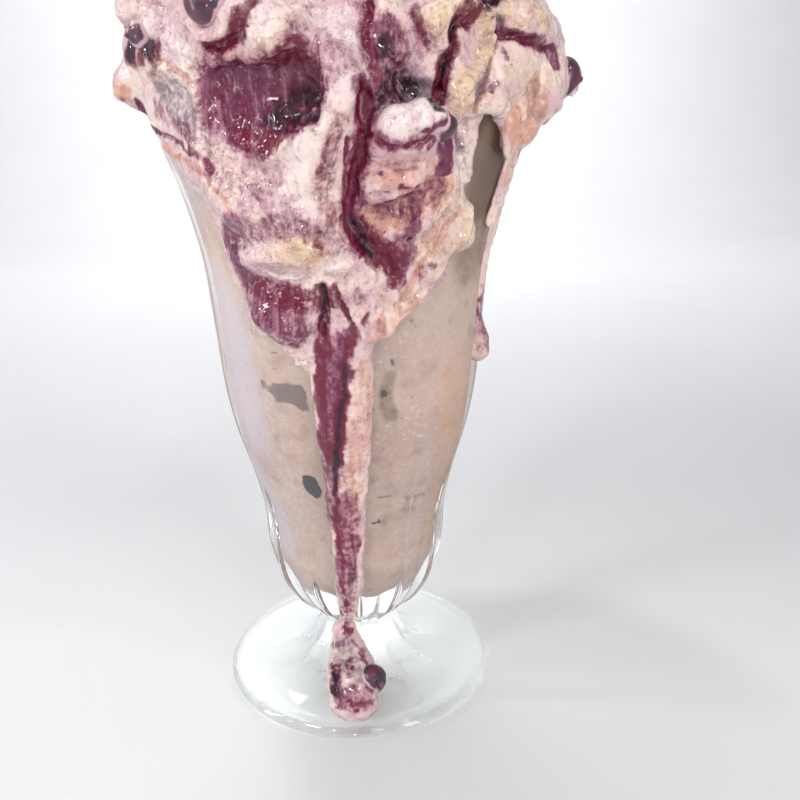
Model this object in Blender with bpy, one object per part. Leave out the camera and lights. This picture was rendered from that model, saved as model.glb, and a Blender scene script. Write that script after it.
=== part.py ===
"""A blueberry milkshake in a footed soda glass.

The glass is pressed, with twelve ribs between flat flutes, on a round foot. The shake fills it to the rim.
A thick mound of blueberry swirl stands on top, runs over the rim all round, and hangs down the front in one
long drip that ends in a blob on the foot. Whole blueberries sit in sockets in the mound.

Metres, +Z up. The origin is the middle of the foot's flat underside. The long drip faces -Y.
Angles round the glass are in degrees from the front, positive towards +X.
"""

import math

import bmesh
import bpy
from mathutils import Matrix, Vector

MM = 0.001

# Driving dimensions of the glass
RIBS = 12
RIB_HEIGHT = 0.9 * MM
RIB_HALF_WIDTH_DEG = 3.4
FLUTE_SAG = 1.1 * MM
COLUMNS = RIBS * 5
COLUMN_CROWDING_DEG = 2.0
FLUTED_RADIUS = 38 * MM

# The gap kept between solids that touch
GAP = 0.3 * MM

# The shake in the glass
SHAKE_COLUMNS = 30
SHAKE_TOP = 172 * MM

# The overflow
VOXEL = 1.5 * MM
SMOOTHING_STEPS = 4
OVERFLOW_TRIANGLES = 3900
BEAD_SUBDIVISIONS = 2
BEADS_PER_RADIUS = 2.2
DRAPE_BEAD = 5.0
DRAPE_ROW_STEP = 3.5
DRAPE_SUNK = 0.8
WAIST_ROW = 10

# A blueberry
BERRY_COLUMNS = 10
BERRY_ROWS = 6
BERRY_FLATNESS = 0.86
CROWN_SHARE = 0.36
CROWN_DEPTH = 0.26

# Outer wall of the glass, from the foot's underside up to the rim: radius, height (mm), and how deep the
# flutes are there, as a share of their full depth.
OUTER_WALL = [
    (36.5, 0.0, 0.0),
    (39.6, 0.4, 0.0),
    (41.0, 2.2, 0.0),
    (39.9, 4.0, 0.0),
    (37.6, 4.4, 0.0),
    (34.5, 4.1, 0.0),
    (28.0, 5.4, 0.35),
    (20.5, 8.0, 1.0),
    (15.0, 11.6, 1.5),
    (12.2, 15.8, 1.6),
    (12.0, 19.2, 1.6),
    (14.4, 22.4, 1.7),
    (18.6, 26.0, 1.8),
    (22.2, 30.6, 1.7),
    (25.3, 37.0, 1.4),
    (26.9, 45.0, 1.0),
    (27.6, 56.0, 1.0),
    (30.0, 67.0, 1.0),
    (34.0, 80.5, 1.0),
    (36.6, 94.0, 1.0),
    (38.2, 112.0, 1.0),
    (39.9, 130.0, 1.0),
    (42.8, 143.5, 0.9),
    (45.9, 154.5, 0.6),
    (48.0, 163.5, 0.0),
    (49.3, 173.0, 0.0),
    (49.6, 177.4, 0.0),
]
# Inner wall, from the rim down to the middle of the bowl's floor: radius, height (mm).
INNER_WALL = [
    (48.4, 178.5),
    (47.3, 176.8),
    (46.5, 171.0),
    (44.3, 160.5),
    (39.6, 144.5),
    (36.0, 129.0),
    (34.0, 110.0),
    (31.0, 89.0),
    (26.4, 75.0),
    (20.8, 61.0),
    (18.6, 50.0),
    (17.0, 42.0),
    (12.5, 35.5),
    (6.5, 33.0),
    (0.0, 32.5),
]

# The sheet that hangs down the front of the glass: height (mm), then its left and right edges (deg).
DRAPE = [
    (173, -67, 36),
    (165, -59, 31),
    (158, -49, 29.5),
    (149, -38, 37),
    (141, -39, 39),
    (133, -41, 28),
    (125, -38, 18),
    (118, -31, 6),
    (113, -20, -2),
]

# The lobes of the overflow: angle (deg), height, distance from the axis, then half sizes sideways, upwards
# and outwards (mm), and how far the lobe leans towards +X (deg).
LOBES = [
    # the mound
    (0, 186, 0, 50, 31, 50, 0),
    (-40, 197, 20, 24, 18, 22, 0),
    (35, 199, 22, 22, 16, 20, 0),
    (150, 198, 20, 25, 17, 22, 0),
    (0, 210, 3, 20, 13, 20, 0),
    # the left shoulder and the drop that hangs off it
    (-56, 184, 47, 12, 10, 10.5, 0),
    (-63.5, 175.5, 54.0, 4.6, 5.6, 5.2, 0),
    (-47, 180, 49.5, 8, 7, 6.5, 0),
    (-54, 168, 48, 7, 7, 4.5, 30),
    # the front, left of the crease
    (-40, 159, 46.6, 7, 9, 6, 30),
    (-27, 150, 46, 13, 8, 8, 25),
    (-12, 148, 45.5, 11, 8, 7.5, -25),
    (-17, 139, 43, 14, 4.5, 8.5, -8),
    (-35, 140, 42, 6, 8, 5, 10),
    (-22, 125.5, 40, 11, 10, 7.5, -10),
    (-4, 135, 42, 8, 12, 5.5, 0),
    # the front, right of the crease
    (13.5, 164, 50.5, 10.5, 5.8, 8.5, 0),
    (14, 154, 47.5, 10.5, 3.8, 7.5, -8),
    (19, 147, 45, 6.5, 5, 6, -30),
    (24, 137, 41.5, 5, 10, 6, -42),
    (14, 129, 40.5, 5, 8, 5, -38),
    (37.5, 142.5, 42.5, 5, 6.5, 6, -15),
    # the right shoulder, which stands off the glass
    (24, 182, 48, 10, 12, 9.5, 0),
    (48, 179, 47, 12, 9, 10, 0),
    (40, 173.5, 49.5, 6, 5, 6, 0),
    (66, 175.5, 49, 12, 11, 11, 0),
    (60, 167.5, 51.5, 8, 8, 7.5, 0),
    (75, 174, 49.5, 9, 10, 7, 0),
    (54, 163.5, 49.4, 4.4, 4.5, 3.2, 20),
    # round the back
    (97, 171, 47.5, 15, 12, 9.5, 0),
    (124, 166, 46.5, 11, 18, 8, 8),
    (151, 172, 48, 17, 12, 10.5, 0),
    (177, 161, 45.6, 10, 20, 8, -6),
    (-160, 172, 48, 15, 12, 10.5, 0),
    (-137, 165, 46.5, 12, 18, 8.5, 6),
    (-112, 174, 48.5, 15, 11, 9.5, 0),
    (-90, 180, 47, 12, 11, 9.5, 0),
    # the blob on the foot
    (-4, 10.5, 26.5, 8.4, 6.6, 9.5, 0),
    (-6, 13.5, 20, 5.4, 6, 5, 0),
    (-3.5, 8, 33.4, 8.2, 4.6, 5.8, 0),
]

# The strands of the overflow: points of angle (deg), height and distance from the axis (mm), with the
# strand's half width along the surface and half depth off it (mm) at each.
STRANDS = {
    "over_the_rim": [(angle, 181.5, 48.5, 6, 6) for angle in range(-180, 181, 30)],
    "ridge_over_the_hollow": [
        (-52, 189, 46, 6, 6),
        (-36, 187, 50, 6, 6),
        (-20, 187, 52, 6, 6.5),
        (-8, 181, 53, 5, 5),
    ],
    "middle_ridge": [
        (0, 190, 48, 5.5, 6),
        (-2, 177, 52, 6, 6.5),
        (-4, 165, 51.5, 5.5, 6.5),
        (-13, 152, 48, 5, 5),
    ],
    "ridge_right_of_the_crease": [(9, 194, 47, 4.5, 6), (11, 184, 51.5, 4, 5.5), (9, 172, 51, 3.5, 4.5)],
    "cream_column": [
        (25, 174, 51, 6, 6),
        (24.5, 164, 49, 4, 5.6),
        (28, 154, 46.5, 4.5, 5),
        (34, 146, 44, 5, 5),
    ],
    "left_edge": [
        (-60, 169, 49, 3.6, 4),
        (-51, 159.5, 47, 3, 3.6),
        (-41, 151, 45.4, 3, 3.6),
        (-36, 143, 43, 4, 4.6),
    ],
    "right_edge": [
        (32, 138, 42.4, 3, 3.2),
        (21, 128, 41, 3.2, 3.6),
        (10, 120.5, 40, 3, 3.6),
        (4.5, 119.4, 40.4, 3, 3.6),
    ],
    "right_brow": [
        (32, 193, 46, 8, 8),
        (50, 189, 48.5, 8, 8.5),
        (68, 184, 50.5, 7, 7.5),
        (82, 180, 49, 7, 7),
    ],
    "long_drip": [
        (-4.5, 130, 41, 8, 5),
        (-3.5, 112, 38.8, 8.6, 4.6),
        (-3.4, 98, 37.4, 8.2, 4.4),
        (-3.4, 86, 35.4, 7.2, 4.4),
        (-3.8, 74, 32, 6.2, 4.4),
        (-4.5, 62, 28.6, 5.4, 4.2),
        (-5, 50, 27, 4.7, 4),
        (-6, 40, 25.4, 4.4, 3.6),
        (-7.5, 33, 23, 3.4, 3),
        (-9, 28, 19.8, 2.2, 2.2),
    ],
    "drip_off_the_bowl": [
        (-9, 29, 20.2, 2, 2),
        (-9.5, 24.5, 18.4, 2, 2),
        (-9, 20, 17.4, 3, 2.4),
        (-7, 14, 18.2, 4, 3.4),
    ],
    "side_drip": [
        (76, 166, 47.6, 6, 3.2),
        (76, 152, 43.4, 5, 2.6),
        (76, 135, 39.2, 4, 2.6),
        (76, 118, 37.2, 3.4, 2.4),
        (77, 108, 37.6, 3.2, 3),
        (77, 103, 37.4, 3, 3.2),
    ],
    "back_drip": [
        (174, 152, 44, 6, 4),
        (175, 138, 41, 4.6, 3.2),
        (174, 124, 38.6, 4, 3),
        (174, 116, 38, 4.4, 3.6),
    ],
    "back_left_drip": [(-130, 158, 46, 5.5, 4), (-128, 147, 43, 4.4, 3.4), (-128, 138, 41, 4.6, 4)],
    "top_swirl": [
        (-120, 198, 43, 7, 7),
        (-70, 202, 40, 7, 7),
        (-20, 206.5, 35, 7.5, 7.5),
        (30, 210.5, 29, 7.5, 7.5),
        (85, 214.5, 22, 7, 7),
        (150, 218, 13, 6, 6),
        (240, 220, 4, 6, 6),
    ],
    "back_swirl": [
        (82, 195, 46, 7, 7),
        (115, 197, 43, 8, 8),
        (160, 195, 45, 8, 8),
        (200, 197, 42, 7, 7),
        (245, 193, 46, 7, 7),
        (275, 189, 47, 6, 6),
    ],
}

# The blueberries: angle (deg), height, distance from the axis and radius (mm), then which way the crown
# looks: turned sideways and upwards from straight outwards (deg).
BERRIES = [
    (-29, 190.5, 54.0, 5.4, 30, 60),
    (-54, 187, 52.4, 5.4, -10, 10),
    (71, 176.5, 57.2, 4.9, 25, -20),
    (21.5, 166.5, 53.8, 4.5, 10, 80),
    (33.5, 197.0, 49.5, 5.2, 0, 45),
    (98, 188, 51.0, 5.4, 10, 20),
    (155, 185, 53.0, 5.2, -20, 25),
    (-112, 186, 53.0, 5.5, 20, 40),
    (-150, 204, 34.0, 5.3, 0, 40),
    (60, 218, 24.0, 5.5, 0, 50),
    (-95, 212.5, 27.0, 5.2, 10, 60),
]
FOOT_BERRY = (6.5, 12.0, 29.0, 4.3, 30, 10)

COLOURS = {
    "glass": ((0.92, 0.96, 0.95, 1.0), 0.03),
    "shake": ((0.55, 0.45, 0.45, 1.0), 0.45),
    "overflow": ((0.62, 0.42, 0.46, 1.0), 0.30),
    "berry": ((0.03, 0.025, 0.06, 1.0), 0.40),
}


def around(angle_deg, radius, height):
    """The point at this angle round the glass, distance from its axis and height."""
    angle = math.radians(angle_deg)
    return Vector((radius * math.sin(angle), -radius * math.cos(angle), height))


def between(values, at):
    """A smooth curve through rows of numbers, read at a place counted in rows."""
    last = len(values) - 1
    i = min(int(at), last - 1)
    t = at - i
    rows = [values[max(0, min(last, i + k))] for k in (-1, 0, 1, 2)]
    return [
        0.5 * (2 * b + (c - a) * t + (2 * a - 5 * b + 4 * c - d) * t**2 + (3 * b - a - 3 * c + d) * t**3)
        for a, b, c, d in zip(*rows)
    ]


def wall_radius(height):
    """Radius of the outer wall at this height (mm), above the waist, on a rib's crest."""
    above = next(i for i, (_, z, _) in enumerate(OUTER_WALL) if i > WAIST_ROW and z > height)
    (r0, z0, _), (r1, z1, _) = OUTER_WALL[above - 1 : above + 1]
    return r0 + (r1 - r0) * (height - z0) / (z1 - z0)


def material(name):
    colour, roughness = COLOURS[name]
    made = bpy.data.materials.new(name)
    made.use_nodes = True
    shader = made.node_tree.nodes["Principled BSDF"]
    shader.inputs["Base Color"].default_value = colour
    shader.inputs["Roughness"].default_value = roughness
    if name == "glass":
        shader.inputs["Transmission Weight"].default_value = 1.0
    return made


def finished(name, bm, look, smooth_deg=35):
    """The object NAME, made from a bmesh, shaded smooth up to this angle."""
    mesh = bpy.data.meshes.new(name)
    bmesh.ops.recalc_face_normals(bm, faces=bm.faces)
    bm.to_mesh(mesh)
    bm.free()
    mesh.materials.append(look)
    mesh.shade_smooth()
    mesh.set_sharp_from_angle(angle=math.radians(smooth_deg))
    made = bpy.data.objects.new(name, mesh)
    bpy.context.scene.collection.objects.link(made)
    return made


def turned(profile, columns):
    """A bmesh turned about the Z axis from points of radius and height. Points on the axis become poles."""
    bm = bmesh.new()
    verts = [bm.verts.new((radius, 0, height)) for radius, height in profile]
    edges = [bm.edges.new(pair) for pair in zip(verts, verts[1:])]
    bmesh.ops.spin(
        bm,
        geom=verts + edges,
        cent=(0, 0, 0),
        axis=(0, 0, 1),
        angle=2 * math.pi,
        steps=columns,
        use_merge=True,
    )
    bmesh.ops.remove_doubles(bm, verts=bm.verts, dist=0.01 * MM)
    return bm


def flute_depth(angle_deg):
    """How far the glass lies inside its ribs' crests at this angle, at full depth and the fluted radius."""
    pitch = 360 / RIBS
    off_rib = abs((angle_deg + pitch / 2) % pitch - pitch / 2)
    rise = min(1.0, off_rib / RIB_HALF_WIDTH_DEG)
    bead = RIB_HEIGHT * rise * rise * (3 - 2 * rise)
    return bead + FLUTE_SAG * math.sin(math.pi * off_rib / pitch) ** 2


def fluted(outside, inside, name, look, grown=0.0):
    """A turned solid whose outer wall is fluted by pulling columns in, and GROWN outwards, the foot upwards."""
    wall = {}
    for row, (radius, height, share) in enumerate(outside):
        lift = grown if 0 < row <= WAIST_ROW else 0.0
        wall[round(radius * MM + grown, 6), round(height * MM + lift, 6)] = share
    ends = [(r * MM, z * MM) for r, z in inside]
    bm = turned([(0.0, 0.0), *wall, *ends], COLUMNS)
    for vert in bm.verts:
        radius = math.hypot(vert.co.x, vert.co.y)
        angle = math.degrees(math.atan2(vert.co.x, -vert.co.y))
        crowded = angle - COLUMN_CROWDING_DEG * math.sin(math.radians(RIBS * angle))
        share = wall.get((round(radius, 6), round(vert.co.z, 6)), 0.0)
        radius -= share * flute_depth(crowded) * radius / FLUTED_RADIUS
        if radius > 0:
            vert.co = around(crowded, radius, vert.co.z)
    return finished(name, bm, look)


def glass():
    """The pressed glass."""
    return fluted(OUTER_WALL, INNER_WALL, "glass", material("glass"))


def shake():
    """The shake in the glass, up to just under the rim, a gap clear of the wall."""
    wall = [(r * MM - GAP, z * MM) for r, z in INNER_WALL if z * MM < SHAKE_TOP and r > 0]
    floor = INNER_WALL[-1][1] * MM + GAP
    rim = (wall[0][0] + 0.2 * MM, SHAKE_TOP)
    wall = [(radius, max(height, floor + 0.1 * MM)) for radius, height in wall]
    bm = turned([(0, SHAKE_TOP), rim, *wall, (0, floor)], SHAKE_COLUMNS)
    return finished("shake", bm, material("shake"))


def cutter(made):
    """Marks an object as a cutter, which is no part of the model."""
    made.hide_render = True
    made.display_type = "WIRE"
    return made


def envelope():
    """A cutter: the outside of the glass and the top of the shake, a gap bigger."""
    gap = GAP / MM
    (rim, top), (lip, lip_height), (shake_rim, _) = INNER_WALL[:3]
    level = SHAKE_TOP / MM + gap
    inside = [(rim, top + gap), (lip - gap, lip_height), (shake_rim, level), (0, level)]
    return cutter(fluted(OUTER_WALL, inside, "envelope", material("glass"), GAP))


def bead(bm, centre, sizes, turn):
    """A closed ball of these half sizes in a bmesh, turned and moved to its centre."""
    place = Matrix.Translation(centre) @ turn @ Matrix.Diagonal((*sizes, 1))
    bmesh.ops.create_icosphere(bm, subdivisions=BEAD_SUBDIVISIONS, radius=1, matrix=place)


def facing(angle_deg, lean_deg=0.0):
    """Turns +Y inwards and +X sideways at this angle round the glass, then leans about that +Y."""
    outward = Matrix.Rotation(math.radians(angle_deg), 4, "Z")
    return outward @ Matrix.Rotation(math.radians(lean_deg), 4, "Y")


def strand(bm, points):
    """A run of balls along a smooth curve through the points, close enough to melt together."""
    place = 0.0
    while place <= len(points) - 1:
        angle, height, radius, width, depth = between(points, place)
        ahead = between(points, min(place + 0.05, len(points) - 1))
        behind = between(points, max(place - 0.05, 0))
        run = around(ahead[0], ahead[2], ahead[1]) - around(behind[0], behind[2], behind[1])
        bead(bm, around(angle, radius, height) * MM, (width * MM, depth * MM, width * MM), facing(angle))
        place += 0.1 * width / BEADS_PER_RADIUS / max(run.length, 1e-6)


def drape(bm):
    """The thin sheet down the front: rows of balls between its edges, sunk a little in the wall."""
    height = DRAPE[0][0]
    while height > DRAPE[-1][0]:
        row = next(i for i, (low, _, _) in enumerate(DRAPE) if low < height)
        above, below = DRAPE[row - 1], DRAPE[row]
        share = (above[0] - height) / (above[0] - below[0])
        radius = wall_radius(height) - DRAPE_SUNK
        inset = math.degrees(DRAPE_BEAD / radius)
        left = above[1] + (below[1] - above[1]) * share + inset
        right = above[2] + (below[2] - above[2]) * share - inset
        count = max(1, round((right - left) / inset))
        for i in range(count + 1):
            angle = left + (right - left) * i / count
            bead(bm, around(angle, radius, height) * MM, (DRAPE_BEAD * MM,) * 3, facing(angle))
        height -= DRAPE_ROW_STEP


def overflow(cutters):
    """The mound and all that runs down from it: lobes and strands melted together, then cut by the glass."""
    bm = bmesh.new()
    for angle, height, radius, side, up, out, lean in LOBES:
        bead(bm, around(angle, radius, height) * MM, (side * MM, out * MM, up * MM), facing(angle, lean))
    for points in STRANDS.values():
        strand(bm, points)
    drape(bm)
    made = finished("overflow", bm, material("overflow"), smooth_deg=60)
    melt = made.modifiers.new("melt", "REMESH")
    melt.mode = "VOXEL"
    melt.voxel_size = VOXEL
    soften = made.modifiers.new("soften", "SMOOTH")
    soften.iterations = SMOOTHING_STEPS
    melted = made.evaluated_get(bpy.context.evaluated_depsgraph_get()).to_mesh()
    melted.calc_loop_triangles()
    thin = made.modifiers.new("thin", "DECIMATE")
    thin.ratio = OVERFLOW_TRIANGLES / len(melted.loop_triangles)
    cut = made.modifiers.new("cut", "BOOLEAN")
    cut.operand_type = "COLLECTION"
    cut.collection = cutters
    cut.solver = "EXACT"
    return made


def berry(name, angle, height, radius, size, turn_deg, lift_deg, look):
    """A blueberry with the dented crown at its blossom end, and the matrix that places it."""
    crown = CROWN_SHARE * size
    top = BERRY_FLATNESS * size
    dent = CROWN_DEPTH * size
    profile = [(0.0, top - dent), (crown * 0.7, top - dent * 0.7), (crown, top)]
    start = 1.15 * math.asin(CROWN_SHARE)
    for i in range(BERRY_ROWS):
        down = start + (math.pi - start) * i / BERRY_ROWS
        profile.append((size * math.sin(down), top * math.cos(down)))
    profile.append((0.0, -top))
    bm = turned([(r * MM, z * MM) for r, z in profile], BERRY_COLUMNS)
    made = finished(name, bm, look)
    made.matrix_world = (
        Matrix.Translation(around(angle, radius, height) * MM)
        @ facing(angle + turn_deg)
        @ Matrix.Rotation(math.radians(90 - lift_deg), 4, "X")
    )
    return made


def socket(name, angle, height, radius, size):
    """A cutter: a ball a gap bigger than the berry that sits there."""
    bm = bmesh.new()
    bead(bm, around(angle, radius, height) * MM, (size * MM + 2 * GAP,) * 3, facing(angle))
    return cutter(finished(name, bm, material("glass")))


def main():
    for old in list(bpy.data.objects):
        bpy.data.objects.remove(old)
    glass()
    shake()
    cutters = bpy.data.collections.new("cutters")
    cutters.hide_render = True
    bpy.context.scene.collection.children.link(cutters)
    tools = [envelope()]
    look = material("berry")
    for n, (angle, height, radius, size, turn, lift) in enumerate([*BERRIES, FOOT_BERRY], 1):
        berry(f"berry_{n:02d}", angle, height, radius, size, turn, lift, look)
        tools.append(socket(f"socket_{n:02d}", angle, height, radius, size))
    for tool in tools:
        bpy.context.scene.collection.objects.unlink(tool)
        cutters.objects.link(tool)
    overflow(cutters)


main()
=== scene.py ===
import math

import bmesh
import bpy
import numpy as np
from mathutils import Matrix, Vector, noise
from mathutils.bvhtree import BVHTree


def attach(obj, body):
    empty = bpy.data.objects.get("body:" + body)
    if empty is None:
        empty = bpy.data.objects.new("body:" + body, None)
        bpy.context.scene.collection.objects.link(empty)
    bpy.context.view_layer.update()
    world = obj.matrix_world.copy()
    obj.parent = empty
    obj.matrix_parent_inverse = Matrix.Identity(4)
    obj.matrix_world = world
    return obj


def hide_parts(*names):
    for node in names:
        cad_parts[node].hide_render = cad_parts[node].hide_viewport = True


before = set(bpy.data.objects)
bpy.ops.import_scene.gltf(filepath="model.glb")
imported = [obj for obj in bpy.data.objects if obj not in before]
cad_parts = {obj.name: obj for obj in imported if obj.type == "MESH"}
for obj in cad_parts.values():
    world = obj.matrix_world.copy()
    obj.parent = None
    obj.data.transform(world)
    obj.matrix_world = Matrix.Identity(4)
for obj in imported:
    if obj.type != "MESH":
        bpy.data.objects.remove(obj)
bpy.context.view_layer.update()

# Lengths are in millimetres unless a name or comment says otherwise. Angles round the glass are in degrees
# from the front (-Y), positive towards +X.
MM = 0.001

# ------------------------------------------------------------------ the camera

# Its place, its turns in degrees, and its focal length counted in 800ths of the picture's width.
CAMERA_PLACE = (0.0, -238.4, 168.2)
CAMERA_PITCH = -18.548
CAMERA_YAW = 3.407
CAMERA_ROLL = -0.755
SENSOR = 36.0
PICTURE = 800
FOCAL = 848.94

# ------------------------------------------------------------------ the glass's own shape

# A rib stands on the wall between two flutes, and each flute ends in an arch under the rim.
RIBS = 12
RIB_HEIGHT = 0.9
RIB_HALF_WIDTH = 3.4
FLUTE_SAG = 1.1
FLUTED_RADIUS = 38.0
ARCH_TOP = 166.0
ARCH_DROP = 9.0
ARCH_FADE = 7.0
# Rows of OUTER_WALL where the glass is narrowest and where the foot's top begins.
WAIST_ROW = 10
FOOT_TOP_ROW = 3
# How fine the meshes are: steps from row to row, and columns all round.
ROW_STEPS = 6
SHAKE_STEPS = 12
GLASS_COLUMNS = 240
SHAKE_COLUMNS = 280
SHAKE_TOP = 172.0
SHAKE_EDGE = 0.6
SHAKE_INTO_WALL = 0.15

# Outer wall from the foot's underside up to the rim: radius, height, depth of the flutes as a share.
OUTER_WALL = [
    (36.5, 0.0, 0.0),
    (39.6, 0.4, 0.0),
    (41.0, 2.2, 0.0),
    (39.9, 4.0, 0.0),
    (37.6, 4.4, 0.0),
    (34.5, 4.1, 0.0),
    (28.0, 5.4, 0.35),
    (20.5, 8.0, 1.0),
    (15.0, 11.6, 1.5),
    (12.2, 15.8, 1.6),
    (12.0, 19.2, 1.6),
    (14.4, 22.4, 1.7),
    (18.6, 26.0, 1.8),
    (22.2, 30.6, 1.7),
    (25.3, 37.0, 1.4),
    (26.9, 45.0, 1.0),
    (27.6, 56.0, 1.0),
    (30.0, 67.0, 1.0),
    (34.0, 80.5, 1.0),
    (36.6, 94.0, 1.0),
    (38.2, 112.0, 1.0),
    (39.9, 130.0, 1.0),
    (42.8, 143.5, 0.9),
    (45.9, 154.5, 0.6),
    (48.0, 163.5, 0.3),
    (49.3, 173.0, 0.0),
    (49.6, 177.4, 0.0),
]
# Inner wall from the rim down to the middle of the bowl's floor: radius, height.
INNER_WALL = [
    (48.4, 178.5),
    (47.3, 176.8),
    (46.5, 171.0),
    (44.3, 160.5),
    (39.6, 144.5),
    (36.0, 129.0),
    (34.0, 110.0),
    (31.0, 89.0),
    (26.4, 75.0),
    (20.8, 61.0),
    (18.6, 50.0),
    (17.0, 42.0),
    (12.5, 35.5),
    (6.5, 33.0),
    (0.0, 32.5),
]

# ------------------------------------------------------------------ the overflow's own shape

OVERFLOW_VOXEL = 0.63
# How deep the cream reaches into the glass under it, and how far it stands off where it covers the glass.
SUNK_INTO_GLASS = 0.15
CAD_GAP = 0.7
ROOT_DEPTH = 2.2
LEAST_COVER = 0.7
# A stroke's reach in half widths, and the size of what moves the strokes' edges about and how far.
STROKE_REACH = 1.3
STROKE_WANDER = (4.0, 1.2)
FILL_WANDER = (3.0, 0.8)
# Lumps all over the cream: height, size and octaves. The small ones fade where it lies smooth.
BROAD_LUMPS = (0.5, 9.0, 3)
SMALL_LUMPS = (0.35, 3.2, 2)
BUBBLE = 2.3
BUBBLE_HEIGHT = 0.8
CREASE_DEPTH = 0.9
SIDE_DRIP_KEPT = 0.55
BERRY_PULL = 1.4

# The blueberries, as in the frame: angle, height, distance from the axis and radius, then which way the crown
# looks, turned sideways and upwards from straight outwards.
BERRIES = [
    (-29, 190.5, 54.0, 5.4, 30, 60),
    (-54, 187, 52.4, 5.4, -10, 10),
    (71, 176.5, 57.2, 4.9, 25, -20),
    (21.5, 166.5, 53.8, 4.5, 10, 80),
    (33.5, 197.0, 49.5, 5.2, 0, 45),
    (98, 188, 51.0, 5.4, 10, 20),
    (155, 185, 53.0, 5.2, -20, 25),
    (-112, 186, 53.0, 5.5, 20, 40),
    (-150, 204, 34.0, 5.3, 0, 40),
    (60, 218, 24.0, 5.5, 0, 50),
    (-95, 212.5, 27.0, 5.2, 10, 60),
    (6.5, 12.0, 29.0, 4.3, 30, 10),
]

# Paths that several strokes follow, as places in the camera's picture, across and down in 800ths of it.
CREASE = [(357, 84), (364, 104), (368, 124), (364, 144), (357, 170), (351, 200), (351, 225), (360, 247)]
LOBE = [(431, 24), (455, 9), (476, 13), (485, 32), (479, 58), (467, 78), (459, 96), (452, 106)]
HOLLOW = [(228, 98), (260, 95), (295, 92)]
UPPER_CREASE = [(365, 0), (370, 15), (367, 37), (373, 60), (376, 85)]
LOBE_SHADOW = [(498, 20), (494, 42), (489, 60), (485, 78), (481, 95), (474, 110)]
LEFT_LINE = [(137, 102), (146, 116), (153, 126), (162, 132), (176, 141), (190, 152)]
LEFT_FOLD = [(150, 78), (162, 64), (180, 71), (194, 88), (200, 104)]
SMEAR = [(252, 0), (243, 18), (236, 36), (223, 47), (207, 46)]
DRAPE_SIDE = [(452, 200), (440, 235), (420, 268), (404, 296)]
SIDE_DRIP = [(508, 180), (494, 220), (484, 262), (478, 300), (479, 345)]

# Extra cream laid on the glass, the overflow and the berries: half width, half depth, how far its middle lies
# out from what carries it, and places in the picture.
STRANDS = [
    # the arch on the right, where the glass shows through
    (3.0, 1.9, 0.2, [(474, 104), (468, 124), (463, 148), (460, 170)]),
    (1.9, 1.4, 0.2, [(497, 113), (505, 128), (510, 148), (505, 170), (499, 190), (490, 220)]),
    (2.4, 1.4, 0.1, [(515, 144), (512, 165), (504, 187), (495, 212), (487, 240)]),
    (2.6, 2.0, 0.6, [(474, 100), (488, 103), (502, 110), (512, 124)]),
    # the cream over the berry in the lump
    (4.4, 3.0, -1.5, [(402, 127), (418, 123), (431, 125)]),
    # the drop on the left, and the thin edge under the berry on the right
    (2.1, 2.1, 0.0, [(124, 88), (125, 95)]),
    # over the top of the torn berry beside it
    (3.4, 2.4, 0.4, [(128, 12), (140, 8), (152, 12), (157, 24)]),
    (1.8, 1.8, -0.3, [(574, 92), (566, 112), (556, 132)]),
    # the shoulder of the blob on the foot
    (3.6, 3.0, -0.4, [(344, 631), (345, 646)]),
    (2.6, 2.2, -0.6, [(337, 648), (336, 668), (336, 690)]),
]

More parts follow.
